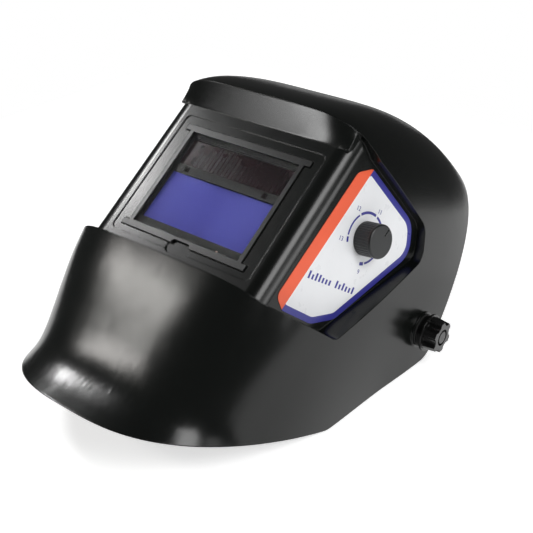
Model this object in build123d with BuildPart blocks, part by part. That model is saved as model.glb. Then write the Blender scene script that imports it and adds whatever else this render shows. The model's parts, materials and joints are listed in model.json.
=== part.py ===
from build123d import *
from math import sin, cos, radians, pi, hypot, atan2, sqrt
import os

# Welding helmet, lying on its two jaw edges with the chin lip raised, as it is put down on a bench.
# Frame: origin at the middle of the footprint on the bench plane, +Z up, -Y the front (chin lip),
# +X the wearer's left.  All sizes in millimetres.

# ---------------------------------------------------------------- driving dimensions
wall = 2.6                 # moulded shell wall
fan_y, fan_z = 14.5, -52.7 # axis (parallel to X) about which the shell's arched sections fan out
root_r = 20.0              # radius at which every section starts
# station angle, height of the arch, half width, squareness across, squareness along
stations = [
    (21.0, 246.8, 109.6, 2.50, 2.95), (25.0, 228.9, 109.7, 2.75, 2.95), (28.5, 213.2, 109.8, 3.00, 2.96),
    (32.0, 202.2, 109.9, 3.27, 2.98), (36.5, 196.6, 110.1, 3.64, 3.00), (44.0, 195.6, 110.4, 4.20, 3.00),
    (53.0, 200.2, 110.8, 4.80, 2.90), (62.0, 208.5, 111.2, 5.20, 2.65), (72.0, 223.5, 111.7, 5.45, 2.38),
    (82.0, 243.0, 112.2, 5.52, 2.22), (91.0, 251.5, 112.8, 5.50, 2.16), (99.0, 248.3, 113.5, 5.42, 2.18),
    (108.0, 243.2, 114.3, 5.34, 2.28), (118.0, 238.1, 115.2, 5.25, 2.53), (130.0, 233.3, 116.2, 5.15, 2.95),
    (142.0, 230.8, 117.2, 5.05, 3.35), (152.0, 229.2, 117.9, 5.00, 3.60),
]
lip_pt = (-177.4, 45.8)    # side view (y, z) of the chin lip
jaw_pt = (-48.5, 0.0)      # front end of the resting edge
ear_pt = (71.1, 0.0)       # rear end of the resting edge
rear_slope = 47.3          # rise of the rear rim, degrees
lean = 0.5711736           # cosine of the window's lean from vertical
rise = 0.8208293           # sine of it
face_o = (0, -35.5, 142.3) # middle of the window
half_win = 76.0            # half width of the flat window face
side_ang = 13.0            # side panels turn this far from straight back
win_top, win_bot = 60.0, -59.0
brow_h = 74.0              # level of the brow's sharp upper edge on the window's own vertical
corner_r = 13.5            # rounding between window face and side panels

open_w, open_h = 100.0, 84.0     # opening through the window face
bezel_w, bezel_h = 124.6, 101.6  # shallow step around the opening
cart_w, cart_h = 110.0, 90.0     # auto-darkening cartridge
lcd_w, lcd_h, lcd_z = 92.0, 40.2, -12.9
solar_w, solar_h, solar_z = 92.0, 21.0, 25.0

knob_s, knob_z = 55.0, 28.0      # shade knob on the side panel: back from the corner, up from window middle
knob_r, knob_h = 12.0, 14.5
piv_y, piv_z = 63.5, 27.3        # headgear pivot
boss_r, boss_x = 14.0, 115.0

T = (0, rise, lean)              # up along the window
NRM = (0, -lean, rise)           # out of the window
INW = (0, lean, -rise)           # into the helmet
FACE = Plane(origin=face_o, x_dir=(1, 0, 0), z_dir=NRM)   # x, up the window, outward
PLAN = Plane(origin=face_o, x_dir=(1, 0, 0), z_dir=T)     # x, inward, up the window
SIDE = Plane(origin=face_o, x_dir=INW, z_dir=(1, 0, 0))   # inward, up the window, across
sa, ca = sin(radians(side_ang)), cos(radians(side_ang))


def world(x, yd, zd):
    """Point from window coordinates (across, inward, up) to the helmet frame."""
    return (x, face_o[1] + yd * lean + zd * rise, face_o[2] + zd * lean - yd * rise)


LABEL = Plane(origin=world(half_win, 0, 0), x_dir=(sa, ca * lean, -ca * rise), z_dir=(ca, -sa * lean, sa * rise))
KNOB = Plane(origin=world(half_win + knob_s * sa, knob_s * ca, knob_z),
             x_dir=(sa, ca * lean, -ca * rise), z_dir=(ca, -sa * lean, sa * rise))
os.makedirs("parts", exist_ok=True)
made = []


def out(builder, name):
    builder.part.label = name
    export_step(builder.part, "parts/" + name + ".step")
    made.append(name)


# ---------------------------------------------------------------- shell form
def half_arch(R, w, p, q, r0):
    pts = [(0.0, R)]
    for f in (.13, .26, .39, .51, .62, .71, .79, .855, .91):
        pts.append((w * f, r0 + (R - r0) * (1 - f ** p) ** (1 / q)))
    for rho in (.5, .38, .26, .13, 0):
        pts.append((w * (1 - rho ** q) ** (1 / p), r0 + (R - r0) * rho))
    return pts


def fan_plane(deg):
    t = radians(deg)
    return Plane(origin=(0, fan_y, fan_z), x_dir=(1, 0, 0), z_dir=(0, -sin(t), -cos(t)))


def arch_sketch(deg, R, w, p, q, r0):
    with BuildSketch(fan_plane(deg)) as sk:
        with BuildLine():
            h = half_arch(R, w, p, q, r0)
            Spline([(-x, r) for x, r in h[:0:-1]] + h, tangents=[(0, 1), (0, -1)])
            Line((h[-1][0], r0), (-h[-1][0], r0))
        make_face()
    return sk.sketch


with BuildPart() as outer_form:
    for deg, R, w, p, q in stations:
        add(arch_sketch(deg, R, w, p, q, root_r))
    loft()

with BuildPart() as inner_form:
    for deg, R, w, p, q in stations:
        add(arch_sketch(deg, R - wall, w - wall, p, q, root_r - 8))
    loft()


# height of the brow's curved upper edge: where the outer form crosses the level brow_h
def radius_at(x, y, z):
    """Signed distance inside (+) of the outer form along the fan radius."""
    dy, dz = y - fan_y, z - fan_z
    r, th = hypot(dy, dz), atan2(dz, -dy) * 180 / pi
    for a, b in zip(stations, stations[1:]):
        if a[0] <= th <= b[0]:
            f = (th - a[0]) / (b[0] - a[0])
            R, w, p, q = [a[i] + f * (b[i] - a[i]) for i in (1, 2, 3, 4)]
            return root_r + (R - root_r) * max(1e-9, 1 - min(1, abs(x / w)) ** p) ** (1 / q) - r
    return -1


def brow_front(x, zd):
    lo, hi = -60.0, 60.0
    for _ in range(40):
        m = (lo + hi) / 2
        if radius_at(x, *world(x, m, zd)[1:]) > 0:
            hi = m
        else:
            lo = m
    return (lo + hi) / 2


side_outline = [(-95, win_bot), (0, win_bot), (61, -45), (107, 50), (93, 69.3), (9, 69.6), (1.5, win_top), (-95, win_top)]


def recess_tool(d):
    """Space in front of the window face and side panels; d sinks it into the wall for the inside surface."""
    with BuildPart() as tool:
        with BuildSketch(SIDE):
            with BuildLine():
                Polyline(*side_outline, close=True)
            make_face()
            verts = vertices().sort_by_distance(Vector(0, 0, 0))
            for (px, py), rad in (((61, -45), 10), ((107, 50), 12), ((93, 69.3), 12), ((9, 69.6), 3)):
                tgt = SIDE.from_local_coords(Vector(px, py, 0))
                v = [v for v in vertices() if (Vector(v.X, v.Y, v.Z) - Vector(px, py, 0)).length < 0.5
                     or (Vector(v.X, v.Y, v.Z) - tgt).length < 0.5]
                fillet(v, rad)
            if d:
                offset(amount=d, kind=Kind.ARC)
        extrude(amount=170, both=True)
        with BuildSketch(PLAN.offset(-120)):
            with BuildLine():
                k = d / ca
                xb = half_win + 200 * sa / ca - k
                pts = [(half_win - k - d * sa / ca, d), (xb, 200 + 0), (-xb, 200), (-(half_win - k - d * sa / ca), d)]
                Polyline(*pts, close=True)
            make_face()
            fillet([v for v in vertices() if v.Y < 50 and abs(v.Z) < 1e6 and hypot(v.X, 0) < half_win + 5
                    and v in vertices().sort_by(Axis.Y)[:2]], corner_r - d * 0.6)
        extrude(amount=260, mode=Mode.SUBTRACT)
    return tool.part


xs = [-78, -70, -60, -45, -30, -15, 0, 15, 30, 45, 60, 70, 78]


def brow_tool(d):
    """Space under the brow: ruled from the straight top of the window face to the curved brow edge."""
    with BuildPart() as tool:
        with BuildSketch(PLAN.offset(win_top + d * 0.3)):
            with BuildLine():
                Spline([(x, 0.0 + d) for x in xs])
                Polyline((xs[-1], 0.0 + d), (xs[-1] + 14, -95), (xs[0] - 14, -95), (xs[0], 0.0 + d))
            make_face()
        with BuildSketch(PLAN.offset(brow_h + d * 0.8)):
            with BuildLine():
                b = [brow_front(x, brow_h) + d for x in xs]
                Spline(list(zip(xs, b)))
                Polyline((xs[-1], b[-1]), (xs[-1] + 14, -95), (xs[0] - 14, -95), (xs[0], b[0]))
            make_face()
        loft(ruled=True)
    return tool.part


def corner_tool(d):
    """Ends of the brow recess, where it runs round onto the side panels."""
    with BuildPart() as tool:
        with BuildSketch(SIDE):
            with BuildLine():
                Polyline((-95, win_bot + 5), (20, win_bot + 5), (20, 69.6), (1.6, brow_h), (-95, brow_h), close=True)
            make_face()
            if d:
                offset(amount=d, kind=Kind.ARC)
        extrude(amount=170, both=True)
        with BuildSketch(PLAN.offset(-120)):
            with BuildLine():
                k = d / ca
                xb = half_win + 200 * sa / ca - k
                pts = [(half_win - k - d * sa / ca, d), (xb, 200), (-xb, 200), (-(half_win - k - d * sa / ca), d)]
                Polyline(*pts, close=True)
            make_face()
            fillet(vertices().sort_by(Axis.Y)[:2], corner_r - d * 0.6)
        extrude(amount=260, mode=Mode.SUBTRACT)
        with BuildSketch(PLAN.offset(-120)):
            Rectangle(2 * (half_win - 1 - d), 400)
        extrude(amount=260, mode=Mode.SUBTRACT)
    return tool.part


keep_pts = [(-300, 45.8 + (300 - 177.4) * 45.8 / 128.9), jaw_pt, ear_pt,
            (71.1 + 330 * cos(radians(rear_slope)), 330 * sin(radians(rear_slope))), (330, 330), (-300, 330)]

with BuildPart() as keep:
    with BuildSketch(Plane.YZ):
        with BuildLine():
            Polyline(*keep_pts, close=True)
        make_face()
        fillet([v for v in vertices() if abs(v.Y - jaw_pt[0]) < .1 and abs(v.Z) < .1 or abs(v.X - jaw_pt[0]) < .1 and abs(v.Y) < .1], 22)
        fillet([v for v in vertices() if abs(v.Y - ear_pt[0]) < .1 and abs(v.Z) < .1 or abs(v.X - ear_pt[0]) < .1 and abs(v.Y) < .1], 20)
    extrude(amount=200, both=True)

with BuildPart() as hollow:
    add(inner_form.part)
    add(recess_tool(wall), mode=Mode.SUBTRACT)
    add(corner_tool(wall), mode=Mode.SUBTRACT)
    add(brow_tool(wall), mode=Mode.SUBTRACT)

with BuildPart() as shell:
    add(outer_form.part)
    add(recess_tool(0), mode=Mode.SUBTRACT)
    add(corner_tool(0), mode=Mode.SUBTRACT)
    add(brow_tool(0), mode=Mode.SUBTRACT)
    add(hollow.part, mode=Mode.SUBTRACT)
    add(keep.part, mode=Mode.INTERSECT)
    # flat bosses where the headgear pivots pass through
    for sx in (-1, 1):
        with BuildSketch(Plane(origin=(sx * 108.6, piv_y, piv_z), x_dir=(0, 1, 0), z_dir=(sx, 0, 0))):
            Circle(boss_r)
        extrude(amount=boss_x - 108.6)
    with BuildSketch(Plane(origin=(-130, piv_y, piv_z), x_dir=(0, 1, 0), z_dir=(1, 0, 0))):
        Circle(3.4)
    extrude(amount=260, mode=Mode.SUBTRACT)
    for sx in (-1, 1):
        with BuildSketch(Plane(origin=(sx * boss_x, piv_y, piv_z), x_dir=(0, 1, 0), z_dir=(sx, 0, 0))):
            Circle(boss_r + 0.6)
        extrude(amount=12, mode=Mode.SUBTRACT)
    # shallow bezel step, pocket for the lens frame and the opening itself
    with BuildSketch(FACE.offset(-0.7)):
        with Locations((0.4, 1.0)):
            RectangleRounded(bezel_w, bezel_h, 4)
    extrude(amount=3, mode=Mode.SUBTRACT)
    with BuildSketch(FACE.offset(-1.7)):
        Rectangle(102.6, 81.6)
        with Locations((0, 42.4), (0, -42.4)):
            Rectangle(111.8, 5.4)
        with Locations((0, -46.0)):
            RectangleRounded(21, 12, 5)
    extrude(amount=4, mode=Mode.SUBTRACT)
    with BuildSketch(FACE.offset(-12)):
        Rectangle(open_w, open_h)
    extrude(amount=14, mode=Mode.SUBTRACT)
    # bosses for the cartridge bracket
    with BuildSketch(FACE.offset(-wall)):
        with Locations(*[(sx * 63.5, sz * 34) for sx in (-1, 1) for sz in (-1, 1)]):
            Circle(3.6)
    extrude(amount=-5.4)
    with BuildSketch(FACE.offset(-wall)):
        with Locations(*[(sx * 63.5, sz * 34) for sx in (-1, 1) for sz in (-1, 1)]):
            Circle(1.25)
    extrude(amount=-5.4, mode=Mode.SUBTRACT)
    # hole for the shade control
    with BuildSketch(KNOB.offset(-8)):
        Circle(3.7)
    extrude(amount=10, mode=Mode.SUBTRACT)
    with BuildSketch(KNOB.offset(-wall)):
        Circle(9.4)
    extrude(amount=-9, mode=Mode.SUBTRACT)
print("shell", shell.part.volume, shell.part.is_valid, len(shell.part.solids()))
out(shell, "shell")

# ---------------------------------------------------------------- lens frame and auto-darkening cartridge
with BuildPart() as front_frame:
    with BuildSketch(FACE.offset(-1.7)):
        Rectangle(101.6, 81.0)
        with Locations((0, 42.3), (0, -42.3)):
            Rectangle(110.8, 4.4)
        with Locations((0, 0)):
            Rectangle(95.4, 79.0, mode=Mode.SUBTRACT)
        with Locations((0, -44.4)):
            RectangleRounded(16, 5.4, 2.6, mode=Mode.SUBTRACT)
    extrude(amount=1.9)
    with BuildSketch(FACE.offset(-1.7)):
        Rectangle(99.4, 83.4)
        Rectangle(97.0, 81.0, mode=Mode.SUBTRACT)
    extrude(amount=-1.3)
out(front_frame, "front_lens_frame")

with BuildPart() as cover_lens:
    with BuildSketch(FACE.offset(-2.8)):
        RectangleRounded(96.8, 80.8, 1)
    extrude(amount=1.0)
out(cover_lens, "cover_lens")

with BuildPart() as cart_front:
    with BuildSketch(FACE.offset(-9.6)):
        RectangleRounded(cart_w, cart_h, 3)
    extrude(amount=6.4)
    with BuildSketch(FACE.offset(-9.6)):
        RectangleRounded(cart_w - 3.4, cart_h - 3.4, 1.5)
    extrude(amount=4.9, mode=Mode.SUBTRACT)
    with BuildSketch(FACE.offset(-5)):
        with Locations((0, lcd_z)):
            Rectangle(lcd_w, lcd_h)
        with Locations((0, solar_z)):
            Rectangle(solar_w, solar_h)
        with Locations((-35, 11.0), (35, 11.0)):
            Rectangle(4.2, 4.2)
        with Locations((27, -38.2)):
            Circle(0.9)
    extrude(amount=3, mode=Mode.SUBTRACT)
    with BuildSketch(FACE.offset(-3.2)):
        with Locations((0, solar_z), (0, lcd_z)):
            Rectangle(solar_w + 3, solar_h + 2)
    extrude(amount=-0.5, mode=Mode.SUBTRACT)
out(cart_front, "cartridge_front_case")

with BuildPart() as lcd:
    with BuildSketch(FACE.offset(-8.2)):
        with Locations((0, lcd_z)):
            Rectangle(96, 43.2)
    extrude(amount=3.5)
out(lcd, "lcd_filter_glass")

with BuildPart() as solar:
    with BuildSketch(FACE.offset(-5.9)):
        with Locations((0, solar_z)):
            Rectangle(96, 23)
    extrude(amount=1.2)
    with BuildSketch(FACE.offset(-4.7)):
        with Locations((0, solar_z)):
            with GridLocations(18.4, 1, 4, 1):
                Rectangle(0.4, 23)
    extrude(amount=-0.2, mode=Mode.SUBTRACT)
out(solar, "solar_panel")

with BuildPart() as sensors:
    with BuildSketch(FACE.offset(-7.2)):
        with Locations((-35, 11.0), (35, 11.0)):
            Rectangle(4.0, 4.0)
    extrude(amount=3.2)
out(sensors, "arc_sensors")

with BuildPart() as led:
    with BuildSketch(FACE.offset(-7.2)):
        with Locations((27, -38.2)):
            Circle(0.8)
    extrude(amount=4.0)
    with BuildSketch(FACE.offset(-8.0)):
        with Locations((27, -38.2)):
            Circle(1.5)
    extrude(amount=1.8)
out(led, "status_lamp")

with BuildPart() as pcb:
    with BuildSketch(FACE.offset(-8.8)):
        with Locations((0, 26.6)):
            Rectangle(104, 32)
        with Locations((-28, 26), (28, 26)):
            Circle(10.4, mode=Mode.SUBTRACT)
    extrude(amount=1.0)
    with BuildSketch(FACE.offset(-7.8)):
        with Locations((0, 24), (-44, 36), (44, 20)):
            Rectangle(9, 7)
        with Locations((-46, 22), (10, 36), (-10, 36), (46, 36)):
            Rectangle(3.2, 1.8)
    extrude(amount=1.2)
out(pcb, "circuit_board")

with BuildPart() as cells:
    with BuildSketch(FACE.offset(-9.4)):
        with Locations((-28, 26), (28, 26)):
            Circle(10.0)
    extrude(amount=3.2)
out(cells, "coin_cells")

with BuildPart() as cart_rear:
    with BuildSketch(FACE.offset(-12.0)):
        RectangleRounded(cart_w, cart_h, 3)
    extrude(amount=2.4)
    with BuildSketch(FACE.offset(-13)):
        with Locations((0, lcd_z)):
            Rectangle(lcd_w, lcd_h)
        with Locations((-12, 26), (12, 26)):
            Circle(2.1)
    extrude(amount=5, mode=Mode.SUBTRACT)
    with BuildSketch(FACE.offset(-12.0)):
        with Locations((0, lcd_z)):
            Rectangle(101, 48)
    extrude(amount=1.1, mode=Mode.SUBTRACT)
out(cart_rear, "cartridge_rear_case")

with BuildPart() as inner_lens:
    with BuildSketch(FACE.offset(-12.0)):
        with Locations((0, lcd_z)):
            Rectangle(100.6, 47.6)
    extrude(amount=1.0)
out(inner_lens, "inner_cover_lens")


def trimmer(x, name):
    """Small slotted dial on the inside face of the cartridge, with its stem."""
    with BuildPart() as t:
        with BuildSketch(FACE.offset(-12.1)):
            with Locations((x, 26)):
                Circle(5.2)
        extrude(amount=-2.4)
        with BuildSketch(FACE.offset(-14.5)):
            with Locations((x, 26)):
                Rectangle(8.4, 1.4)
                with PolarLocations(5.6, 16):
                    Circle(0.7)
        extrude(amount=1.4, mode=Mode.SUBTRACT)
        with BuildSketch(FACE.offset(-12.2)):
            with Locations((x, 26)):
                Circle(2.04)
        extrude(amount=3.0)
    out(t, name)


trimmer(-12, "sensitivity_dial")
trimmer(12, "delay_dial")

with BuildPart() as bracket:
    with BuildSketch(FACE.offset(-15.6)):
        RectangleRounded(114.4, 94.4, 4)
        RectangleRounded(104, 84, 2, mode=Mode.SUBTRACT)
    extrude(amount=3.6)
    with BuildSketch(FACE.offset(-12.0)):
        RectangleRounded(114.4, 94.4, 4)
        RectangleRounded(cart_w + 0.2, cart_h + 0.2, 3, mode=Mode.SUBTRACT)
    extrude(amount=12.0 - wall)
    with BuildSketch(FACE.offset(-10.2)):
        with Locations(*[(sx * 62.0, sz * 34) for sx in (-1, 1) for sz in (-1, 1)]):
            RectangleRounded(11, 9, 3)
        Rectangle(cart_w + 1, cart_h + 1, mode=Mode.SUBTRACT)
        with Locations(*[(sx * 63.5, sz * 34) for sx in (-1, 1) for sz in (-1, 1)]):
            Circle(1.6, mode=Mode.SUBTRACT)
    extrude(amount=2.2)
    # thumb tabs that spring the cartridge out
    with BuildSketch(FACE.offset(-15.6)):
        with Locations((0, 49.4)):
            RectangleRounded(26, 6, 2)
    extrude(amount=2.0)
out(bracket, "cartridge_bracket")

with BuildPart() as bracket_screws:
    with BuildSketch(FACE.offset(-10.2)):
        with Locations(*[(sx * 63.5, sz * 34) for sx in (-1, 1) for sz in (-1, 1)]):
            Circle(2.7)
    extrude(amount=-1.9)
    with BuildSketch(FACE.offset(-12.1)):
        with Locations(*[(sx * 63.5, sz * 34) for sx in (-1, 1) for sz in (-1, 1)]):
            Rectangle(3.2, 0.7)
            Rectangle(0.7, 3.2)
    extrude(amount=0.9, mode=Mode.SUBTRACT)
    with BuildSketch(FACE.offset(-10.2)):
        with Locations(*[(sx * 63.5, sz * 34) for sx in (-1, 1) for sz in (-1, 1)]):
            Circle(1.25)
    extrude(amount=6.5)
out(bracket_screws, "bracket_screws")

# ---------------------------------------------------------------- side labels (mirror pair share a node)
label_pts = [(13.0, -47.3), (16.8, 55.5), (27.0, 66.3), (88.5, 66.3), (104.4, 48.0), (70.0, -29.5), (52.5, -44.2), (24.0, -51.6)]


def label_face():
    with BuildSketch() as sk:
        with BuildLine():
            Polyline(*label_pts, close=True)
        make_face()
        def near(p):
            return vertices().sort_by_distance(Vector(p[0], p[1], 0))[0]
        fillet(near(label_pts[0]), 6)
        fillet(near(label_pts[1]), 8)
        fillet(near(label_pts[2]), 5)
        fillet(near(label_pts[3]), 18)
        fillet(near(label_pts[4]), 17)
        fillet(near(label_pts[5]), 14)
        fillet(near(label_pts[6]), 14)
        fillet(near(label_pts[7]), 3.5)
    return sk.sketch


def stripe_side():
    with BuildSketch() as sk:
        with BuildLine():
            Polyline((0, -80), (21.9, -80), (28.9, 90), (0, 90), close=True)
        make_face()
    return sk.sketch


def label_piece(name, thick, parts):
    with BuildPart() as p:
        with BuildSketch(LABEL) as sk:
            add(parts())
        extrude(amount=thick)
        mirror(about=Plane.YZ)
        if name == "label_panel":
            with BuildSketch(LABEL):
                with Locations((knob_s, knob_z)):
                    Circle(3.8)
            extrude(amount=thick + 0.5, mode=Mode.SUBTRACT)
    out(p, name)


def white_part():
    with BuildSketch() as sk:
        add(label_face())
        offset(amount=-4.5)
        add(stripe_side(), mode=Mode.SUBTRACT)
    return sk.sketch


def stripe_part():
    with BuildSketch() as sk:
        add(label_face())
        add(stripe_side(), mode=Mode.INTERSECT)
    return sk.sketch


def border_part():
    with BuildSketch() as sk:
        add(label_face())
        add(stripe_side(), mode=Mode.SUBTRACT)
        add(white_part(), mode=Mode.SUBTRACT)
    return sk.sketch


label_piece("label_panel", 0.3, white_part)
label_piece("label_stripe", 0.3, stripe_part)
label_piece("label_border", 0.3, border_part)

# ---------------------------------------------------------------- shade control
with BuildPart() as pot_body:
    with BuildSketch(KNOB.offset(-wall)):
        Circle(8.4)
    extrude(amount=-8.5)
    with BuildSketch(KNOB.offset(-wall)):
        Circle(3.5)
    extrude(amount=wall + 3.0)
    with BuildSketch(KNOB.offset(-wall - 5)):
        Circle(3.05)
    extrude(amount=12, mode=Mode.SUBTRACT)
    with BuildSketch(KNOB.offset(-wall - 6.5)):
        with Locations((-5, -10), (0, -10), (5, -10)):
            Rectangle(1.6, 7)
    extrude(amount=1.0)
out(pot_body, "shade_potentiometer")

with BuildPart() as pot_nut:
    with BuildSketch(KNOB.offset(0.3)):
        RegularPolygon(5.4, 6)
        Circle(3.5, mode=Mode.SUBTRACT)
    extrude(amount=1.8)
out(pot_nut, "shade_control_nut")

with BuildPart() as pot_shaft:
    with BuildSketch(KNOB.offset(-wall - 4.9)):
        Circle(3.0)
    extrude(amount=wall + 4.9 + 11.0)
    with BuildSketch(KNOB.offset(4.0)):
        with Locations((0, 3.3)):
            Rectangle(8, 3)
    extrude(amount=8, mode=Mode.SUBTRACT)
out(pot_shaft, "shade_shaft")

with BuildPart() as shade_knob:
    with BuildSketch(KNOB.offset(0.6)):
        Circle(knob_r)
    extrude(amount=knob_h)
    top_e = shade_knob.edges().group_by(Axis(KNOB.origin, KNOB.z_dir))[-1]
    fillet(top_e, 1.2)
    with BuildSketch(KNOB.offset(0.6)):
        Circle(8.6)
    extrude(amount=3.4, mode=Mode.SUBTRACT)
    with BuildSketch(KNOB.offset(4.0)):
        Circle(3.0)
    extrude(amount=7.0, mode=Mode.SUBTRACT)
    with BuildSketch(KNOB.offset(4.0)):
        with Locations((0, 3.3)):
            Rectangle(6, 3)
        Circle(3.0, mode=Mode.INTERSECT)
    extrude(amount=7.0)
    # grip flutes and the pointer groove
    with BuildSketch(KNOB.offset(2.0)):
        with PolarLocations(knob_r + 0.45, 36):
            Circle(0.75)
    extrude(amount=11.0, mode=Mode.SUBTRACT)
    with BuildSketch(KNOB.offset(0.6 + knob_h)):
        with Locations((0, 7.6)):
            SlotOverall(5.6, 1.4, rotation=90)
    extrude(amount=-0.8, mode=Mode.SUBTRACT)
out(shade_knob, "shade_knob")

# ---------------------------------------------------------------- headgear
band_a, band_f, band_b = 74.0, 72.0, 100.0   # half width, reach to the front and to the back of the pivot
band_t, band_h = 2.2, 24.0
loop_c = piv_y + 4
rear_c = loop_c + 34
strap_a, strap_b, strap_z = 71.8, 92.0, 38.0
rear_y = 181.4
bands = []


def half_loop(a, b, sgn, n=24, f0=0.0, f1=1.0):
    return [(a * sin((f0 + (f1 - f0) * i / n) * pi / 2), loop_c + sgn * b * cos((f0 + (f1 - f0) * i / n) * pi / 2)) for i in range(n + 1)]


with BuildPart() as headband:
    with BuildSketch(Plane.XY.offset(piv_z - band_h / 2)):
        with BuildLine():
            o_ = half_loop(band_a, band_f, -1)
            i_ = half_loop(band_a - band_t, band_f - band_t, -1)
            Spline([(-x, y) for x, y in o_[:0:-1]] + o_, tangents=[(0, -1), (0, 1)])
            Line((band_a, loop_c), (band_a, loop_c + 34))
            Line((band_a, loop_c + 34), (band_a - band_t, loop_c + 34))
            Line((band_a - band_t, loop_c + 34), (band_a - band_t, loop_c))
            Spline(i_[::-1] + [(-x, y) for x, y in i_[1:]], tangents=[(0, -1), (0, 1)])
            Line((-(band_a - band_t), loop_c), (-(band_a - band_t), loop_c + 34))
            Line((-(band_a - band_t), loop_c + 34), (-band_a, loop_c + 34))
            Line((-band_a, loop_c + 34), (-band_a, loop_c))
        make_face()
    extrude(amount=band_h)
    # rows of slots across the forehead and round ends
    with BuildSketch(Plane.XZ.offset(-loop_c + 30)):
        with Locations((0, piv_z)):
            with GridLocations(16, 1, 5, 1):
                SlotOverall(11, 3.2)
    extrude(amount=60, mode=Mode.SUBTRACT)
    with BuildSketch(Plane.YZ.offset(-90)):
        with Locations((loop_c + 25, piv_z + 5), (loop_c + 25, piv_z - 5), (loop_c + 8, piv_z)):
            Circle(1.6)
    extrude(amount=180, mode=Mode.SUBTRACT)
out(headband, "headband")

with BuildPart() as sweatband:
    with BuildSketch(Plane.XY.offset(piv_z - 15)):
        with BuildLine():
            g = 0.3
            o_ = half_loop(band_a - band_t - g, band_f - band_t - g, -1, 24, 0, 0.74)
            i_ = half_loop(band_a - band_t - g - 6.5, band_f - band_t - g - 6.5, -1, 24, 0, 0.74)
            Spline([(-x, y) for x, y in o_[:0:-1]] + o_)
            Line(o_[-1], i_[-1])
            Spline(i_[::-1] + [(-x, y) for x, y in i_[1:]])
            Line((-i_[-1][0], i_[-1][1]), (-o_[-1][0], o_[-1][1]))
        make_face()
    extrude(amount=30)
out(sweatband, "sweatband")

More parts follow.
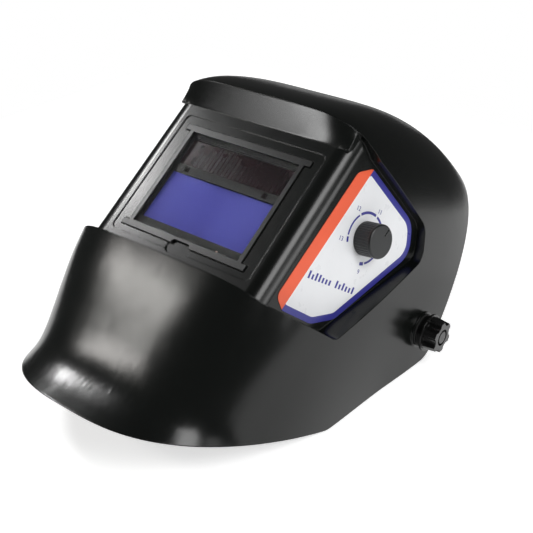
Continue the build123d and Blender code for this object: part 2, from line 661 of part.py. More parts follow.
for side, sx in (("left", 1), ("right", -1)):
    with BuildPart() as arm:
        with BuildSketch(Plane.XY.offset(piv_z - 8)):
            with BuildLine():
                Polyline((sx * 105.4, piv_y + 10), (sx * 105.4, piv_y - 12), (sx * 58.0, piv_y - 39.0), (sx * 56.5, piv_y - 36.0),
                         (sx * 102.6, piv_y - 10.2), (sx * 102.6, piv_y + 10), close=True)
            make_face()
            with Locations((0, loop_c)):
                Ellipse(band_a, band_f, mode=Mode.SUBTRACT)
        extrude(amount=16)
        # foot that lies along the band
        with BuildSketch(Plane.XY.offset(piv_z - 9)):
            with Locations((0, loop_c)):
                Ellipse(band_a + 2.4, band_f + 2.4)
                Ellipse(band_a, band_f, mode=Mode.SUBTRACT)
            with Locations((sx * 55, piv_y - 42)):
                Rectangle(40, 22, mode=Mode.INTERSECT)
        extrude(amount=18)
        with BuildSketch(Plane(origin=(sx * 102.6, piv_y, piv_z), x_dir=(0, 1, 0), z_dir=(sx, 0, 0))):
            Circle(14)
        extrude(amount=2.8)
        with BuildSketch(Plane(origin=(sx * 100, piv_y, piv_z), x_dir=(0, 1, 0), z_dir=(sx, 0, 0))):
            Circle(3.0)
        extrude(amount=8, mode=Mode.SUBTRACT)
    out(arm, "pivot_arm_" + side)

    with BuildPart() as disc:
        with BuildSketch(Plane(origin=(sx * 105.5, piv_y, piv_z), x_dir=(0, 1, 0), z_dir=(sx, 0, 0))):
            Circle(13)
            Circle(3.05, mode=Mode.SUBTRACT)
        extrude(amount=3.0)
    out(disc, "friction_disc_" + side)

    with BuildPart() as stud:
        with BuildSketch(Plane(origin=(sx * 102.6, piv_y, piv_z), x_dir=(0, 1, 0), z_dir=(sx, 0, 0))):
            Circle(7)
        extrude(amount=-2.6)
        fillet(stud.edges().sort_by(Axis.X)[0 if sx > 0 else -1], 1.6)
        with BuildSketch(Plane(origin=(sx * 102.6, piv_y, piv_z), x_dir=(0, 1, 0), z_dir=(sx, 0, 0))):
            Circle(3.0)
        extrude(amount=25.0)
    out(stud, "pivot_stud_" + side)

    with BuildPart() as washer:
        with BuildSketch(Plane(origin=(sx * 115.05, piv_y, piv_z), x_dir=(0, 1, 0), z_dir=(sx, 0, 0))):
            Circle(12.5)
            Circle(3.05, mode=Mode.SUBTRACT)
        extrude(amount=0.9)
    out(washer, "pivot_washer_" + side)

    with BuildPart() as tk:
        kp = Plane(origin=(sx * 116.0, piv_y, piv_z), x_dir=(0, 1, 0), z_dir=(sx, 0, 0))
        with BuildSketch(kp):
            Circle(11.5)
        extrude(amount=4.2)
        with BuildSketch(kp.offset(4.2)):
            Circle(14.3)
        extrude(amount=1.6)
        with BuildSketch(kp.offset(5.8)):
            Circle(13.2)
        with BuildSketch(kp.offset(16.0)):
            Circle(12.0)
        loft()
        with BuildSketch(kp.offset(5.8)):
            with PolarLocations(14.2, 6):
                Circle(4.9)
        extrude(amount=16, mode=Mode.SUBTRACT)
        with BuildSketch(kp.offset(16.0)):
            Circle(6.4)
            Circle(4.6, mode=Mode.SUBTRACT)
        extrude(amount=-1.6, mode=Mode.SUBTRACT)
        with BuildSketch(kp):
            Circle(4.6)
        extrude(amount=13.0, mode=Mode.SUBTRACT)
    out(tk, "tension_knob_" + side)

    with BuildPart() as insert:
        with BuildSketch(kp):
            Circle(4.6)
            Circle(3.05, mode=Mode.SUBTRACT)
        extrude(amount=13.0)
    out(insert, "knob_insert_" + side)

    # band that runs round the back of the head into the ratchet
    with BuildPart() as rear_band:
        with BuildSketch(Plane.XY.offset(piv_z - 8)):
            with BuildLine():
                t0 = radians(27)
                ro, ri = (band_a - band_t, 60.0), (band_a - band_t - 2.0, 58.0)
                o2 = [(sx * ro[0] * sin(t0 + (pi / 2 - t0) * i / 16), rear_c + ro[1] * cos(t0 + (pi / 2 - t0) * i / 16)) for i in range(17)]
                i2 = [(sx * ri[0] * sin(t0 + (pi / 2 - t0) * i / 16), rear_c + ri[1] * cos(t0 + (pi / 2 - t0) * i / 16)) for i in range(17)]
                Spline(o2)
                Line(o2[-1], (sx * ro[0], rear_c - 17))
                Line((sx * ro[0], rear_c - 17), (sx * ri[0], rear_c - 17))
                Line((sx * ri[0], rear_c - 17), i2[-1])
                Spline(i2[::-1])
                Line(i2[0], o2[0])
            make_face()
        extrude(amount=16)
        with BuildSketch(Plane.YZ.offset(sx * 60)):
            with Locations((loop_c + 25, piv_z + 5), (loop_c + 25, piv_z - 5)):
                Circle(1.6)
        extrude(amount=sx * 30, mode=Mode.SUBTRACT)
    out(rear_band, "rear_band_" + side)
    bands.append(rear_band.part)

    # strap over the top of the head, one half each side, lapped at the crown
    with BuildPart() as strap:
        k = 0.0 if sx > 0 else 1.85
        with BuildSketch(Plane.XZ.offset(-(loop_c + 1))):
            with Locations((0, strap_z)):
                Ellipse(strap_a - k, strap_b - k)
                Ellipse(strap_a - 1.8 - k, strap_b - 1.8 - k, mode=Mode.SUBTRACT)
            with Locations((sx * 40, strap_z + 60)):
                Rectangle(116, 120, mode=Mode.INTERSECT)
        extrude(amount=-14)
        with BuildSketch(Plane.XZ.offset(-(loop_c + 1))):
            with Locations((sx * (strap_a - k - 0.9), strap_z - 9.5)):
                Rectangle(1.8, 19)
            if k:
                with Locations((sx * (strap_a - k / 2), strap_z - 9.5)):
                    Rectangle(k, 19)
        extrude(amount=-14)
        with BuildSketch(Plane.XY.offset(strap_z + 60)):
            with Locations((0, loop_c + 8)):
                Circle(1.8)
        extrude(amount=80, mode=Mode.SUBTRACT)
        with BuildSketch(Plane.YZ.offset(sx * 60)):
            with Locations((loop_c + 8, piv_z)):
                Circle(1.6)
        extrude(amount=sx * 30, mode=Mode.SUBTRACT)
    out(strap, "crown_strap_" + side)

with BuildPart() as crown_stud:
    with BuildSketch(Plane.XY.offset(strap_z + strap_b - 3.9)):
        with Locations((0, loop_c + 8)):
            Circle(1.8)
    extrude(amount=4.2)
    with BuildSketch(Plane.XY.offset(strap_z + strap_b + 0.02)):
        with Locations((0, loop_c + 8)):
            Circle(4.2)
    extrude(amount=1.5)
out(crown_stud, "crown_stud")

with BuildPart() as rivets:
    for sx in (-1, 1):
        for yy, zz in ((loop_c + 25, piv_z + 5), (loop_c + 25, piv_z - 5), (loop_c + 8, piv_z)):
            with BuildSketch(Plane(origin=(sx * band_a, yy, zz), x_dir=(0, 1, 0), z_dir=(sx, 0, 0))):
                Circle(2.8)
            extrude(amount=1.1)
            with BuildSketch(Plane(origin=(sx * (band_a - 4.0), yy, zz), x_dir=(0, 1, 0), z_dir=(sx, 0, 0))):
                Circle(1.6)
            extrude(amount=4.5)
out(rivets, "band_rivets")

# ---------------------------------------------------------------- size ratchet at the nape
with BuildPart() as housing:
    with BuildSketch(Plane.XZ.offset(-150.0)):
        with Locations((0, piv_z)):
            RectangleRounded(84, 31, 9)
    extrude(amount=-13.2)
    with BuildSketch(Plane.XZ.offset(-152.0)):
        with Locations((0, piv_z)):
            Rectangle(66, 20.2)
    extrude(amount=-12, mode=Mode.SUBTRACT)
    for bnd in bands:
        add(bnd, mode=Mode.SUBTRACT)
out(housing, "ratchet_housing")

with BuildPart() as lid:
    with BuildSketch(Plane.XZ.offset(-163.2)):
        with Locations((0, piv_z)):
            RectangleRounded(84, 31, 9)
            Circle(5.0, mode=Mode.SUBTRACT)
            with Locations((-35, 0), (35, 0)):
                Circle(1.5, mode=Mode.SUBTRACT)
    extrude(amount=-2.2)
out(lid, "ratchet_cover")

with BuildPart() as lid_screws:
    for sx in (-1, 1):
        with BuildSketch(Plane.XZ.offset(-165.4)):
            with Locations((sx * 35, piv_z)):
                Circle(2.8)
        extrude(amount=-1.4)
        with BuildSketch(Plane.XZ.offset(-163.2)):
            with Locations((sx * 35, piv_z)):
                Circle(1.5)
        extrude(amount=-2.4)
        with BuildSketch(Plane.XZ.offset(-166.8)):
            with Locations((sx * 35, piv_z)):
                Rectangle(3.4, 0.8)
                Rectangle(0.8, 3.4)
        extrude(amount=0.8, mode=Mode.SUBTRACT)
out(lid_screws, "ratchet_screws")

with BuildPart() as pinion:
    with BuildSketch(Plane.XZ.offset(-152.3)):
        with Locations((0, piv_z)):
            Circle(5.9)
            with PolarLocations(6.2, 14):
                Circle(0.8, mode=Mode.SUBTRACT)
    extrude(amount=-10.6)
    with BuildSketch(Plane.XZ.offset(-162.9)):
        with Locations((0, piv_z)):
            Circle(4.9)
    extrude(amount=-2.9)
out(pinion, "ratchet_pinion")

with BuildPart() as ratchet_knob:
    with BuildSketch(Plane.XZ.offset(-165.8)):
        with Locations((0, piv_z)):
            Circle(14.6)
            with PolarLocations(16.4, 12):
                Circle(2.6, mode=Mode.SUBTRACT)
    extrude(amount=-(rear_y - 165.8))
    with BuildSketch(Plane.XZ.offset(-rear_y)):
        with Locations((0, piv_z)):
            Circle(9)
    extrude(amount=1.6, mode=Mode.SUBTRACT)
out(ratchet_knob, "ratchet_knob")

for side, sx in (("left", 1), ("right", -1)):
    with BuildPart() as rack:
        zc = piv_z + sx * 7.9
        with BuildSketch(Plane.XZ.offset(-155.0)):
            with Locations((sx * 2.0, zc)):
                Rectangle(44, 3.6)
            with Locations((sx * 2.0, zc - sx * 1.8)):
                with GridLocations(2.8, 1, 15, 1):
                    Circle(0.7, mode=Mode.SUBTRACT)
        extrude(amount=-4.5)
    out(rack, "size_rack_" + side)

with BuildPart() as rear_pad:
    with BuildSketch(Plane.XY.offset(piv_z - 14)):
        with Locations((0, 146.4)):
            RectangleRounded(62, 6.6, 2.8)
    extrude(amount=28)
out(rear_pad, "rear_pad")

with BuildPart() as gland:
    with BuildSketch(FACE.offset(-12.0)):
        with Locations((44, 34)):
            Circle(3.0)
            Circle(1.2, mode=Mode.SUBTRACT)
    extrude(amount=-3.4)
out(gland, "lead_gland")

for nm in made:
    print(nm, end=" ")
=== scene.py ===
import json
import math
import random

import bmesh
import bpy
from mathutils import Matrix, Vector


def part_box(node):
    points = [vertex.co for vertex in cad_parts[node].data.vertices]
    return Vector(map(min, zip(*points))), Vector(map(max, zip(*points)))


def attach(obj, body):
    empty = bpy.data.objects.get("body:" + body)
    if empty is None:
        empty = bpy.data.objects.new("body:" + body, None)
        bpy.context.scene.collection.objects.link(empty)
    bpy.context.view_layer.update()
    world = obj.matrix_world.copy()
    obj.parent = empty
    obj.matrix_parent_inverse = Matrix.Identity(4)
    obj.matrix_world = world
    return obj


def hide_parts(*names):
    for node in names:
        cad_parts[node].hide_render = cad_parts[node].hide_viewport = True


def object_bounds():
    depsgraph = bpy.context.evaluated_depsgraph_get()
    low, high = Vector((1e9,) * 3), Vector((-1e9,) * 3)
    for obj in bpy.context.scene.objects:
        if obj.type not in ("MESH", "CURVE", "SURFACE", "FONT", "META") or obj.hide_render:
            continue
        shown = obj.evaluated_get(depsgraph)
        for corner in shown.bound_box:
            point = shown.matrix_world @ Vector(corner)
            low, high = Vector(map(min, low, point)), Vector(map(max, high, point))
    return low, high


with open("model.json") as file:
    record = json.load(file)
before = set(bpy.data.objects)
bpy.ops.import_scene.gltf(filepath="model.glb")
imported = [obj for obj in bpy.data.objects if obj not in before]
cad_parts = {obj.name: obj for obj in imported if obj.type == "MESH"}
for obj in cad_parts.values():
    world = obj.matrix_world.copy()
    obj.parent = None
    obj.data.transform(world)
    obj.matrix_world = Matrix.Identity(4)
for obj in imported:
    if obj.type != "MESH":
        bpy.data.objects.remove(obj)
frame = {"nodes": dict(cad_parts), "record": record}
cad_lo, cad_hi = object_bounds()
nodes = frame["nodes"]
random.seed(7)
bpy.context.scene.view_settings.view_transform = "Standard"

# ---------------------------------------------------------------- camera
cam_data = bpy.data.cameras.new("camera")
cam = bpy.data.objects.new("camera", cam_data)
bpy.context.scene.collection.objects.link(cam)
cam_data.sensor_width = 36.0
cam_data.lens = 64.17
cam_data.clip_start, cam_data.clip_end = 0.01, 50
fwd = Vector((-0.5451, 0.6782, -0.4928)).normalized()
right = Vector((0.7794, 0.6265, 0.0)).normalized()
up = right.cross(fwd).normalized()
m = Matrix((right, up, -fwd)).transposed().to_4x4()
m.translation = Vector((0.3963, -0.4720, 0.4177))
cam.matrix_world = m
bpy.context.scene.camera = cam


# ---------------------------------------------------------------- materials
def new_mat(name):
    mt = bpy.data.materials.new(name)
    mt.use_nodes = True
    nt = mt.node_tree
    bsdf = next(n for n in nt.nodes if n.type == "BSDF_PRINCIPLED")
    return mt, nt, bsdf


def noise(nt, coord, scale, detail=4.0, rough=0.55, stretch=None):
    n = nt.nodes.new("ShaderNodeTexNoise")
    n.inputs["Scale"].default_value = scale
    n.inputs["Detail"].default_value = detail
    n.inputs["Roughness"].default_value = rough
    src = coord
    if stretch:
        mp = nt.nodes.new("ShaderNodeMapping")
        mp.inputs["Scale"].default_value = stretch
        nt.links.new(coord, mp.inputs["Vector"])
        src = mp.outputs["Vector"]
    nt.links.new(src, n.inputs["Vector"])
    return n.outputs["Fac"]


def ramp(nt, fac, a, b, lo=0.3, hi=0.7):
    r = nt.nodes.new("ShaderNodeValToRGB")
    r.color_ramp.elements[0].position = lo
    r.color_ramp.elements[1].position = hi
    r.color_ramp.elements[0].color = (*a, 1)
    r.color_ramp.elements[1].color = (*b, 1)
    nt.links.new(fac, r.inputs["Fac"])
    return r.outputs["Color"]


def span(nt, fac, a, b, lo=0.25, hi=0.75):
    r = nt.nodes.new("ShaderNodeMapRange")
    r.inputs["From Min"].default_value = lo
    r.inputs["From Max"].default_value = hi
    r.inputs["To Min"].default_value = a
    r.inputs["To Max"].default_value = b
    nt.links.new(fac, r.inputs["Value"])
    return r.outputs["Result"]


def surface(name, color, rough, var=0.12, rvar=0.06, grain=2600.0, bump=0.15, depth=0.00004, round_mm=0.5,
            metallic=0.0, coat=0.0, patch=22.0, wear=0.0, stretch=None, spec=0.5):
    """Moulded or machined surface: mottled colour, uneven gloss, fine grain, softened and slightly worn edges."""
    mt, nt, b = new_mat(name)
    tc = nt.nodes.new("ShaderNodeTexCoord").outputs["Object"]
    col = ramp(nt, noise(nt, tc, patch, 5), [c * (1 - var) for c in color], [min(1, c * (1 + var)) for c in color])
    nt.links.new(span(nt, noise(nt, tc, patch * 3.2, 7, 0.62), max(0.03, rough - rvar), rough + rvar), b.inputs["Roughness"])
    bp = nt.nodes.new("ShaderNodeBump")
    bp.inputs["Strength"].default_value = bump
    bp.inputs["Distance"].default_value = depth
    nt.links.new(noise(nt, tc, grain, 3, 0.5, stretch), bp.inputs["Height"])
    if round_mm:
        bv = nt.nodes.new("ShaderNodeBevel")
        bv.samples = 5
        bv.inputs["Radius"].default_value = round_mm / 1000
        nt.links.new(bv.outputs["Normal"], bp.inputs["Normal"])
        if wear:
            geo = nt.nodes.new("ShaderNodeNewGeometry")
            dot = nt.nodes.new("ShaderNodeVectorMath")
            dot.operation = "DOT_PRODUCT"
            nt.links.new(bv.outputs["Normal"], dot.inputs[0])
            nt.links.new(geo.outputs["Normal"], dot.inputs[1])
            edge = span(nt, dot.outputs["Value"], wear, 0.0, 0.80, 0.985)
            mx = nt.nodes.new("ShaderNodeMix")
            mx.data_type = "RGBA"
            nt.links.new(edge, mx.inputs["Factor"])
            nt.links.new(col, mx.inputs["A"])
            mx.inputs["B"].default_value = (*[min(1, c * 3 + 0.03) for c in color], 1)
            col = mx.outputs["Result"]
    nt.links.new(col, b.inputs["Base Color"])
    nt.links.new(bp.outputs["Normal"], b.inputs["Normal"])
    b.inputs["Metallic"].default_value = metallic
    b.inputs["Coat Weight"].default_value = coat
    b.inputs["Coat Roughness"].default_value = 0.15
    b.inputs["Specular IOR Level"].default_value = spec
    return mt


M = {}
M["shell_plastic"] = surface("shell_black", (0.0040, 0.0048, 0.0043), 0.22, 0.12, 0.025, 3400, 0.08, 0.00003, 0.9, patch=14, spec=0.36)
M["frame_plastic"] = surface("frame_black", (0.008, 0.0085, 0.0085), 0.34, 0.12, 0.05, 4200, 0.16, 0.00003, 0.4, spec=0.4)
M["case_plastic"] = surface("case_black", (0.020, 0.020, 0.020), 0.52, 0.12, 0.06, 5200, 0.3, 0.00004, 0.3, wear=0.10)
M["knob_plastic"] = surface("knob_black", (0.010, 0.0115, 0.012), 0.36, 0.15, 0.07, 3600, 0.25, 0.00005, 0.45, wear=0.25)
M["band_plastic"] = surface("band_black", (0.016, 0.016, 0.017), 0.42, 0.14, 0.07, 3000, 0.25, 0.00005, 0.5, wear=0.2)
M["washer_rubber"] = surface("rubber_black", (0.018, 0.018, 0.018), 0.75, 0.2, 0.08, 2500, 0.5, 0.00008, 0.3)
M["rivet_plastic"] = surface("rivet_grey", (0.035, 0.035, 0.036), 0.45, 0.15, 0.06, 4000, 0.25, 0.00003, 0.3, wear=0.2)
M["gear_plastic"] = surface("nylon_white", (0.62, 0.60, 0.54), 0.42, 0.05, 0.06, 2600, 0.2, 0.00004, 0.2)
M["cell_metal"] = surface("nickel", (0.62, 0.61, 0.59), 0.28, 0.06, 0.08, 900, 0.2, 0.00002, 0.2, metallic=1, stretch=(1, 1, 14))
M["screw_steel"] = surface("zinc_steel", (0.56, 0.56, 0.55), 0.32, 0.08, 0.1, 1500, 0.3, 0.00003, 0.3, metallic=1, stretch=(1, 9, 1))
M["pot_metal"] = surface("plated_can", (0.50, 0.50, 0.48), 0.38, 0.1, 0.1, 1400, 0.3, 0.00003, 0.3, metallic=1)
M["nut_brass"] = surface("brass", (0.60, 0.45, 0.20), 0.30, 0.12, 0.1, 1200, 0.25, 0.00003, 0.3, metallic=1)
M["shaft_metal"] = surface("turned_aluminium", (0.68, 0.68, 0.68), 0.30, 0.06, 0.08, 1600, 0.3, 0.00002, 0.2, metallic=1, stretch=(1, 1, 16))
M["board"] = surface("solder_mask", (0.012, 0.085, 0.030), 0.30, 0.22, 0.08, 1500, 0.2, 0.00004, 0.2, patch=160)
M["label_white"] = surface("film_white", (0.80, 0.81, 0.83), 0.30, 0.02, 0.06, 900, 0.12, 0.00002, 0.0, patch=30)
M["label_red"] = surface("film_red", (0.83, 0.105, 0.034), 0.34, 0.06, 0.06, 900, 0.15, 0.00002, 0.0, patch=30)
M["label_blue"] = surface("film_blue", (0.030, 0.030, 0.27), 0.32, 0.08, 0.06, 900, 0.15, 0.00002, 0.0, patch=30)
M["sensor"] = surface("sensor_lens", (0.012, 0.006, 0.007), 0.12, 0.15, 0.04, 1500, 0.1, 0.00002, 0.2)
M["lamp"] = surface("lamp_lens", (0.75, 0.55, 0.45), 0.20, 0.1, 0.05, 1500, 0.1, 0.00002, 0.1)


def lens_clear():
    mt, nt, b = new_mat("clear_sheet")
    tc = nt.nodes.new("ShaderNodeTexCoord").outputs["Object"]
    b.inputs["Base Color"].default_value = (0.96, 0.97, 0.97, 1)
    b.inputs["Transmission Weight"].default_value = 1.0
    b.inputs["IOR"].default_value = 1.25
    nt.links.new(span(nt, noise(nt, tc, 35, 6, 0.7, (1, 6, 1)), 0.01, 0.09), b.inputs["Roughness"])
    bp = nt.nodes.new("ShaderNodeBump")
    bp.inputs["Strength"].default_value = 0.04
    bp.inputs["Distance"].default_value = 0.0002
    nt.links.new(noise(nt, tc, 30, 3), bp.inputs["Height"])
    nt.links.new(bp.outputs["Normal"], b.inputs["Normal"])
    return mt


def filter_blue():
    mt, nt, b = new_mat("filter_blue")
    tc = nt.nodes.new("ShaderNodeTexCoord").outputs["Object"]
    fac = noise(nt, tc, 9, 2, 0.4, (1.6, 0.5, 0.5))
    nt.links.new(ramp(nt, fac, (0.118, 0.120, 0.54), (0.176, 0.184, 0.70), 0.38, 0.64), b.inputs["Base Color"])
    nt.links.new(span(nt, noise(nt, tc, 40, 5), 0.05, 0.12), b.inputs["Roughness"])
    return mt


def solar():
    mt, nt, b = new_mat("solar_cells")
    tc = nt.nodes.new("ShaderNodeTexCoord").outputs["Object"]
    w = nt.nodes.new("ShaderNodeTexWave")
    w.wave_type = "BANDS"
    w.bands_direction = "X"
    w.inputs["Scale"].default_value = 95
    w.inputs["Distortion"].default_value = 0.0
    nt.links.new(tc, w.inputs["Vector"])
    base = ramp(nt, noise(nt, tc, 28, 4), (0.016, 0.007, 0.009), (0.034, 0.016, 0.020))
    mx = nt.nodes.new("ShaderNodeMix")
    mx.data_type = "RGBA"
    nt.links.new(span(nt, w.outputs["Fac"], 0.0, 0.10, 0.86, 0.99), mx.inputs["Factor"])
    nt.links.new(base, mx.inputs["A"])
    mx.inputs["B"].default_value = (0.06, 0.04, 0.04, 1)
    nt.links.new(mx.outputs["Result"], b.inputs["Base Color"])
    nt.links.new(span(nt, noise(nt, tc, 60, 5), 0.16, 0.3), b.inputs["Roughness"])
    return mt


def fabric(name, color):
    mt, nt, b = new_mat(name)
    tc = nt.nodes.new("ShaderNodeTexCoord").outputs["Object"]
    hs = []
    for direction, sc in (("Z", 520), ("DIAGONAL", 430)):
        w = nt.nodes.new("ShaderNodeTexWave")
        w.wave_type = "BANDS"
        w.bands_direction = direction
        w.inputs["Scale"].default_value = sc
        w.inputs["Distortion"].default_value = 1.2
        w.inputs["Detail"].default_value = 1.0
        nt.links.new(tc, w.inputs["Vector"])
        hs.append(w.outputs["Fac"])
    mul = nt.nodes.new("ShaderNodeMath")
    mul.operation = "MAXIMUM"
    nt.links.new(hs[0], mul.inputs[0])
    nt.links.new(hs[1], mul.inputs[1])
    big = ramp(nt, noise(nt, tc, 45, 5), [c * 0.75 for c in color], [c * 1.3 for c in color])
    # painted shade: the weave's low points (the same height that drives the bump) are mixed toward a cloth colour at
    # 30%, darkening the grooves between threads
    mx = nt.nodes.new("ShaderNodeMix")
    mx.data_type = "RGBA"
    nt.links.new(span(nt, mul.outputs[0], 0.45, 0.0, 0.3, 0.9), mx.inputs["Factor"])
    nt.links.new(big, mx.inputs["A"])
    mx.inputs["B"].default_value = (*[c * 0.3 for c in color], 1)
    nt.links.new(mx.outputs["Result"], b.inputs["Base Color"])
    nt.links.new(span(nt, noise(nt, tc, 90, 6), 0.82, 0.97), b.inputs["Roughness"])
    bp = nt.nodes.new("ShaderNodeBump")
    bp.inputs["Strength"].default_value = 0.7
    bp.inputs["Distance"].default_value = 0.00025
    nt.links.new(mul.outputs[0], bp.inputs["Height"])
    nt.links.new(bp.outputs["Normal"], b.inputs["Normal"])
    b.inputs["Sheen Weight"].default_value = 0.35
    b.inputs["Sheen Roughness"].default_value = 0.4
    return mt


M["clear_lens"] = lens_clear()
M["filter_glass"] = filter_blue()
M["solar_cell"] = solar()
M["pad_fabric"] = fabric("pad_cloth", (0.040, 0.041, 0.046))

gloss_knob = surface("tension_black", (0.006, 0.006, 0.006), 0.20, 0.15, 0.05, 2500, 0.10, 0.00003, 0.5, wear=0.15)
slot_of = {s["node"]: s["material_slot"] for s in frame["record"]["subparts"]}
for name, o in nodes.items():
    mt = M[slot_of[name]]
    if name.startswith("tension_knob"):
        mt = gloss_knob
    if not o.data.materials:
        o.data.materials.append(mt)
    for s in o.material_slots:
        s.material = mt


# ---------------------------------------------------------------- printed marks on the side label
LEAN, RISE = 0.5711736, 0.8208293
SA, CA = math.sin(math.radians(13)), math.cos(math.radians(13))
S_DIR = Vector((SA, CA * LEAN, -CA * RISE))
Z_DIR = Vector((0, RISE, LEAN))
N_DIR = Vector((CA, -SA * LEAN, SA * RISE))
ORIGIN = Vector((0.076, -0.0355, 0.1423))


def on_label(s, z, h=0.0):
    return ORIGIN + S_DIR * (s / 1000) + Z_DIR * (z / 1000) + N_DIR * (h / 1000)


def mesh_piece(name, verts, faces, mat, body, slot=None, smooth=False):
    me = bpy.data.meshes.new(name)
    me.from_pydata([tuple(v) for v in verts], [], faces)
    me.materials.append(mat)
    if smooth:
        for p in me.polygons:
            p.use_smooth = True
    o = bpy.data.objects.new(name, me)
    bpy.context.scene.collection.objects.link(o)
    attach(o, body)
    return o


def strip(path_in, path_out, h0=0.28, h1=0.42):
    """Thin raised strip between two rows of label points."""
    v, f = [], []
    n = len(path_in)
    for h in (h0, h1):
        for a in (path_in, path_out):
            v += [on_label(s, z, h) for s, z in a]
    for i in range(n - 1):
        f.append((2 * n + i, 2 * n + i + 1, 3 * n + i + 1, 3 * n + i))
        f.append((i, 2 * n + i, 2 * n + i + 1, i + 1)[::-1])
        f.append((n + i, n + i + 1, 3 * n + i + 1, 3 * n + i)[::-1])
    f.append((0, n, 3 * n, 2 * n))
    f.append((n - 1, 2 * n - 1, 4 * n - 1, 3 * n - 1)[::-1])
    return v, f


def join(parts):
    v, f = [], []
    for a, b in parts:
        k = len(v)
        v += a
        f += [tuple(i + k for i in q) for q in b]
    return v, f


dial_s, dial_z, dial_r = 55.0, 28.0, 17.7
arcs = []
for a0, a1, w in ((223, 211, 1.7), (207, 153, 1.3), (148, 97, 1.9), (91, 25, 1.7), (18, -46, 1.5), (-50, -62, 2.4)):
    pts = [math.radians(a0 + (a1 - a0) * i / 24) for i in range(25)]
    arcs.append(strip([(dial_s + (dial_r - w / 2) * math.cos(t), dial_z + (dial_r - w / 2) * math.sin(t)) for t in pts],
                      [(dial_s + (dial_r + w / 2) * math.cos(t), dial_z + (dial_r + w / 2) * math.sin(t)) for t in pts]))
mesh_piece("dial_scale", *join(arcs), M["label_blue"], "mask", "label_blue")

tilt = math.radians(19.8)
bars = []
ca_, sa_ = math.cos(tilt), math.sin(tilt)
for i, hgt in enumerate((5.6, 3.6, 5.4, 5.2, 3.8, 3.6, 3.8, 0, 5.4, 3.6, 5.4, 3.8, 3.6, 5.0)):
    if not hgt:
        continue
    s0, z0 = 28.5 + i * 3.55 * ca_, -23.0 + i * 3.55 * sa_
    w = 0.85

    def at(u, v):
        return (s0 + u * ca_ - v * sa_ + v * 0.12, z0 + u * sa_ + v * ca_)

    bars.append(strip([at(-w, 0), at(-w, hgt)], [at(w, 0), at(w, hgt)]))
mesh_piece("label_marks", *join(bars), M["label_blue"], "mask", "label_blue")

for txt, s, z in (("13", 35.2, 14.0), ("12", 34.8, 38.7), ("11", 54.5, 50.0), ("10", 77.6, 36.0), ("9", 66.5, 7.5)):
    cu = bpy.data.curves.new("num_" + txt, "FONT")
    cu.body = txt
    cu.size = 0.0045
    cu.extrude = 0.00005
    cu.align_x = "CENTER"
    cu.align_y = "CENTER"
    tmp = bpy.data.objects.new("tmp_" + txt, cu)
    bpy.context.scene.collection.objects.link(tmp)
    bpy.context.view_layer.update()
    me = bpy.data.meshes.new_from_object(tmp.evaluated_get(bpy.context.evaluated_depsgraph_get()))
    bpy.data.objects.remove(tmp)
    xd = (S_DIR * ca_ + Z_DIR * sa_).normalized()
    yd = (Z_DIR * ca_ - S_DIR * sa_).normalized()
    mm = Matrix((xd, yd, N_DIR)).transposed().to_4x4()
    mm.translation = on_label(s, z, 0.37)
    me.transform(mm)
    me.materials.clear()
    me.materials.append(M["label_blue"])
    o = bpy.data.objects.new("dial_number_" + txt, me)
    bpy.context.scene.collection.objects.link(o)
    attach(o, "mask")


# ---------------------------------------------------------------- padded pieces
def padded_piece(name, path, z0, z1, thick, channels, body, node, taper=0.06):
    """Crowned pad swept along path = [(point, inward normal)]; channels are sewn grooves as shares of the path."""
    n, k = len(path), 36
    verts, faces = [], []
    zc, hh = (z0 + z1) / 2, (z1 - z0) / 2
    for i, (p, nrm) in enumerate(path):
        u = i / (n - 1)
        end = min(u, 1 - u) / taper
        close = min(1.0, max(0.0, end)) ** 0.5 * 0.86 + 0.14 if end < 1 else 1.0
        g = max([math.exp(-((u - c) / 0.006) ** 2) for c in channels] + [0.0])
        th = thick * (0.60 + 0.40 * close) * (1 - 0.42 * g)
        hz = hh * (0.72 + 0.28 * close) * (1 - 0.02 * g)
        for j in range(k):
            t = 2 * math.pi * j / k
            c, s = math.cos(t), math.sin(t)
            e = 0.42
            a = math.copysign(abs(c) ** e, c)
            b = math.copysign(abs(s) ** e, s)
            puff = 1 - 0.22 * abs(b) ** 3 if a > 0 else 1.0
            seam = 0.10 * math.exp(-((abs(b) - 0.80) / 0.05) ** 2) if a > 0.4 else 0.0
            dn = thick / 2 + (th / 2) * a * puff - thick * 0.5 * seam - (thick - th) / 2 * (1 if a < 0 else 0) * 0
            wob = 0.00016 * math.sin(u * 61 + b * 3.0) * (1 if a > 0.4 else 0)
            q = p + nrm * (max(0.0, dn + wob))
            verts.append(Vector((q.x, q.y, zc + hz * b)))
    for i in range(n - 1):
        for j in range(k):
            a, b2 = i * k + j, i * k + (j + 1) % k
            faces.append((a, b2, b2 + k, a + k))
    faces.append(tuple(range(k))[::-1])
    faces.append(tuple((n - 1) * k + j for j in range(k)))
    me = bpy.data.meshes.new(name)
    me.from_pydata([tuple(v) for v in verts], [], faces)
    bm = bmesh.new()
    bm.from_mesh(me)
    bmesh.ops.recalc_face_normals(bm, faces=bm.faces)
    bm.to_mesh(me)
    bm.free()
    for p in me.polygons:
        p.use_smooth = True
    me.materials.append(M["pad_fabric"])
    o = bpy.data.objects.new(name, me)
    bpy.context.scene.collection.objects.link(o)
    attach(o, body)
    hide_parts(node)
    return o


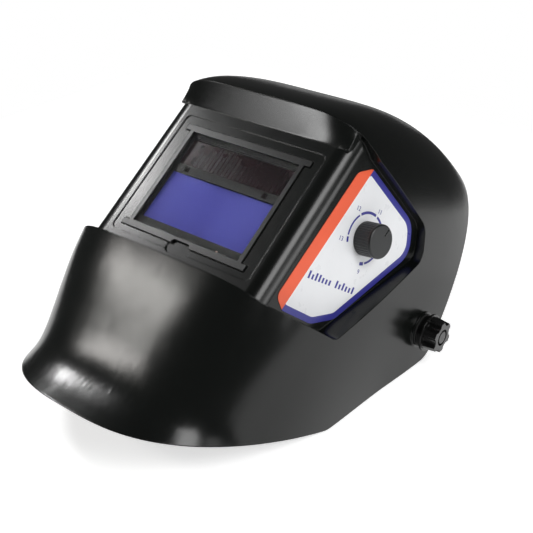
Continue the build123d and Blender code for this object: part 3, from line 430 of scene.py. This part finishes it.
hb_lo, hb_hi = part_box("headband")
sw_lo, sw_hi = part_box("sweatband")
cy = hb_hi.y - 0.034
a_, b_ = hb_hi.x - 0.0025, (cy - hb_lo.y) - 0.0025
path = []
N = 220
for i in range(N + 1):
    t = (-0.735 + 1.47 * i / N) * math.pi / 2
    p = Vector((a_ * math.sin(t), cy - b_ * math.cos(t), 0))
    nr = Vector((-math.sin(t) / a_, math.cos(t) / b_, 0)).normalized()
    path.append((p, nr))
padded_piece("sweatband_pad", path, sw_lo.z, sw_hi.z, 0.0063, [0.14, 0.26, 0.38, 0.5, 0.62, 0.74, 0.86], "headgear", "sweatband")
rp_lo, rp_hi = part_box("rear_pad")
path = [(Vector((rp_lo.x + 0.0004 + (rp_hi.x - rp_lo.x - 0.0008) * i / 90, rp_hi.y, 0)), Vector((0, -1, 0))) for i in range(91)]
padded_piece("nape_pad", path, rp_lo.z, rp_hi.z, rp_hi.y - rp_lo.y, [0.25, 0.5, 0.75], "headgear", "rear_pad", taper=0.12)


# ---------------------------------------------------------------- floor, world and lights
def plane(name, size, z, mat):
    me = bpy.data.meshes.new(name)
    me.from_pydata([(-size, -size, z), (size, -size, z), (size, size, z), (-size, size, z)], [], [(0, 1, 2, 3)])
    me.materials.append(mat)
    o = bpy.data.objects.new(name, me)
    bpy.context.scene.collection.objects.link(o)
    return o


floor_mat = surface("studio_floor", (0.92, 0.92, 0.92), 0.8, 0.01, 0.03, 300, 0.02, 0.00002, 0.0, patch=3)
fb = next(n for n in floor_mat.node_tree.nodes if n.type == "BSDF_PRINCIPLED")
fb.inputs["Emission Color"].default_value = (1, 1, 1, 1)
fb.inputs["Emission Strength"].default_value = 0.62
fb.inputs["Specular IOR Level"].default_value = 0.1
plane("studio_floor", 0.55, cad_lo.z - 0.0004, floor_mat)

world = bpy.data.worlds.new("studio")
bpy.context.scene.world = world
world.use_nodes = True
wt = world.node_tree
bg = next(n for n in wt.nodes if n.type == "BACKGROUND")
out = next(n for n in wt.nodes if n.type == "OUTPUT_WORLD")
bg.inputs["Color"].default_value = (1.0, 1.0, 1.0, 1)
bg.inputs["Strength"].default_value = 0.07
pale = wt.nodes.new("ShaderNodeBackground")
pale.inputs["Color"].default_value = (1.0, 1.0, 1.0, 1)
pale.inputs["Strength"].default_value = 1.0
lp = wt.nodes.new("ShaderNodeLightPath")
mix = wt.nodes.new("ShaderNodeMixShader")
wt.links.new(lp.outputs["Is Camera Ray"], mix.inputs["Fac"])
wt.links.new(bg.outputs["Background"], mix.inputs[1])
wt.links.new(pale.outputs["Background"], mix.inputs[2])
wt.links.new(mix.outputs["Shader"], out.inputs["Surface"])


def area(name, loc, target, w, h, power, color=(1, 1, 1)):
    ld = bpy.data.lights.new(name, "AREA")
    ld.shape = "RECTANGLE"
    ld.size, ld.size_y = w, h
    ld.energy = power
    ld.color = color
    o = bpy.data.objects.new(name, ld)
    bpy.context.scene.collection.objects.link(o)
    o.location = Vector(loc)
    o.rotation_mode = "QUATERNION"
    o.rotation_quaternion = (Vector(target) - Vector(loc)).to_track_quat("-Z", "Y")
    return o


chin = Vector((0.0, -0.11, 0.10))
brow = Vector((0.04, 0.015, 0.183))
area("softbox_chin", chin + Vector((-0.65, -0.60, 0.52)) * 1.2, chin, 0.30, 0.16, 3.2, (1, 0.98, 0.94))
area("softbox_lip", Vector((0.0, -0.17, 0.05)) + Vector((-0.715, 0.0, 0.69)) * 1.3, (0, -0.17, 0.05), 0.28, 0.14, 6.6)
area("softbox_front", brow + Vector((-0.46, -0.88, -0.12)) * 1.4, brow, 0.46, 0.26, 5.6)
area("softbox_top", (1.35, -0.20, 1.35), (0, 0, 0.1), 0.9, 0.7, 16.5)
area("fill_side", (1.9, 0.05, 0.70), (0.1, 0.0, 0.12), 0.6, 0.45, 1.6)
area("strip_side", (1.02, 0.27, 0.21), (0.09, -0.05, 0.14), 0.45, 0.28, 1.9)
area("strip_back", (-0.42, 0.66, 0.06), (-0.05, 0.05, 0.19), 0.60, 0.09, 0.075)
